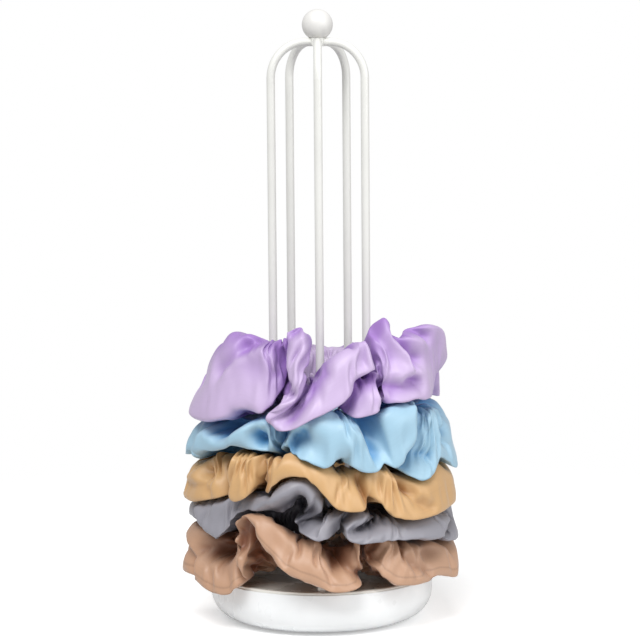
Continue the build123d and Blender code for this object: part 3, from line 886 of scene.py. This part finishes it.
class HAIRTIE_OT_scrunchies(bpy.types.Operator):
    """Gathers the five satin tubes on the tower and stacks them"""

    bl_idname = "hairtie.scrunchies"
    bl_label = "Make the scrunchies"

    def execute(self, context):
        s = context.scene.hairtie_scrunchies
        # place and strength of the seam, and the painted shade in the folds: how far the colour is painted darker
        # and more saturated there
        satins = {"brown": (0.465, 0.5, 2.6, 1.1), "grey": (0.70, 0.3, 2.5, 1.3),
                  "gold": (0.70, 0.3, 2.1, 0.85), "blue": (0.70, 0.3, 3.0, 2.0),
                  "lavender": (0.70, 0.3, 2.9, 1.7)}
        guides = {name: guide_surface(name, s.stations, s.loops, s.hole_radius / MM + 1.4)
                  for name in STACK}
        made = gather(s)
        for name, points in made.items():
            # deep is each point's share of painted shade in the folds
            points, deep = crumple(name, finer(points, 2 * s.stations, 3 * s.loops))
            satin = satin_finish(f"satin_{name}", tuple(getattr(s, name)), *satins[name])
            cover = add_piece(f"{name}_cover", cloth_mesh(points, deep), satin, f"{name}_scrunchie",
                              [f"{name}_scrunchie_cover", f"{name}_scrunchie_elastic"])
            softer = cover.modifiers.new("Soft folds", "SUBSURF")
            softer.levels = softer.render_levels = 1
            below = list(STACK)[list(STACK).index(name) - 1] if name != "brown" else None
        return {"FINISHED"}


class HAIRTIE_OT_stage(bpy.types.Operator):
    """Plain pale floor, soft lights and the camera at the photograph's angle"""

    bl_idname = "hairtie.stage"
    bl_label = "Set the stage"

    def execute(self, context):
        s = context.scene.hairtie_stage
        scene = context.scene
        bm = bmesh.new()
        bmesh.ops.create_circle(bm, cap_ends=True, segments=64, radius=6.0)
        mesh = bpy.data.meshes.new("floor")
        bm.to_mesh(mesh)
        bm.free()
        floor = bpy.data.objects.new("floor", mesh)
        scene.collection.objects.link(floor)
        f = Finish("pale_floor")
        path = f.tree.nodes.new("ShaderNodeLightPath")
        seen = Shade(f.tree, path.outputs["Is Camera Ray"])
        color = tuple(s.floor_color)
        away = f.node("ShaderNodeVectorMath", {"operation": "LENGTH"}, f.place(), out="Value")
        dress(floor, f.surface({"Roughness": 0.7, "Specular IOR Level": 0.1, "Emission Strength": 0.37},
                               Base_Color=color, Emission_Color=f.blend(seen, (0.0,) * 3, (1.0,) * 3),
                               Alpha=away.ramp(0.16, 0.42, 1.0, 0.0)))

        world = bpy.data.worlds.new("room")
        scene.world = world
        world.use_nodes = True
        f = Finish.of(world.node_tree)
        f.tree.nodes.clear()
        path = f.tree.nodes.new("ShaderNodeLightPath")
        camera_ray = Shade(f.tree, path.outputs["Is Camera Ray"])
        glossy_ray = Shade(f.tree, path.outputs["Is Glossy Ray"])
        clear_ray = Shade(f.tree, path.outputs["Is Transmission Ray"])
        seen = f.node("ShaderNodeMath", {"operation": "MAXIMUM"}, camera_ray, clear_ray)
        level = seen + (1 - seen) * (glossy_ray * 0.25 + s.room_level)
        room = f.node("ShaderNodeBackground", None, (1.0, 1.0, 1.0, 1.0), level)
        out = f.tree.nodes.new("ShaderNodeOutputWorld")
        f.tree.links.new(room.socket, out.inputs[0])

        def lamp(name, power, size, place, aim):
            data = bpy.data.lights.new(name, "AREA")
            data.shape, data.size, data.size_y, data.energy = "RECTANGLE", size[0], size[1], power
            obj = bpy.data.objects.new(name, data)
            scene.collection.objects.link(obj)
            obj.location = place
            obj.rotation_euler = (Vector(aim) - Vector(place)).to_track_quat("-Z", "Y").to_euler()

        lamp("key_light", s.key_power, (1.0, 0.7), (-0.28, -0.85, 1.25), (0, 0, 0.12))
        lamp("fill_light", s.fill_power, (0.8, 0.8), (0.95, -0.65, 0.55), (0, 0, 0.12))

        camera = bpy.data.cameras.new("camera")
        camera.sensor_width = 36.0
        camera.lens = 36.0 * 2539 / 640              # 2539 px: focal length of a 640 px frame
        camera.shift_x = 0.5 / 640
        camera.shift_y = -18.3 / 640
        view = bpy.data.objects.new("camera", camera)
        scene.collection.objects.link(view)
        view.matrix_world = (Matrix.Translation((0, -s.camera_distance, s.camera_height))
                             @ Matrix.Rotation(pi / 2 - s.camera_pitch, 4, "X")
                             @ Matrix.Rotation(radians(-0.45), 4, "Z"))
        scene.camera = view
        scene.view_settings.view_transform = "Standard"
        return {"FINISHED"}


class HAIRTIE_PT_panel(bpy.types.Panel):
    """Lists the holder's settings and steps"""

    bl_label = "Hair Tie Holder"
    bl_idname = "HAIRTIE_PT_panel"
    bl_space_type = "VIEW_3D"
    bl_region_type = "UI"
    bl_category = "Hair Tie Holder"

    def draw(self, context):
        for group in ("hairtie_stage", "hairtie_holder", "hairtie_scrunchies"):
            settings = getattr(context.scene, group)
            box = self.layout.box()
            for name in settings.__annotations__:
                box.prop(settings, name)
        for operator in STEPS:
            self.layout.operator(operator.bl_idname)


GROUPS = {
    "hairtie_stage": HairTieStageSettings,
    "hairtie_holder": HairTieHolderSettings,
    "hairtie_scrunchies": HairTieScrunchieSettings,
}
STEPS = (HAIRTIE_OT_stage, HAIRTIE_OT_holder_finishes, HAIRTIE_OT_scrunchies)


def register():
    for cls in (*GROUPS.values(), *STEPS, HAIRTIE_PT_panel):
        bpy.utils.register_class(cls)
    for name, cls in GROUPS.items():
        setattr(bpy.types.Scene, name, PointerProperty(type=cls))


def unregister():
    for name in GROUPS:
        delattr(bpy.types.Scene, name)
    for cls in (HAIRTIE_PT_panel, *reversed(STEPS), *reversed(list(GROUPS.values()))):
        bpy.utils.unregister_class(cls)


def main():
    register()
    bpy.ops.hairtie.stage()
    bpy.ops.hairtie.holder_finishes()
    bpy.ops.hairtie.scrunchies()


if __name__ == "__main__":
    main()
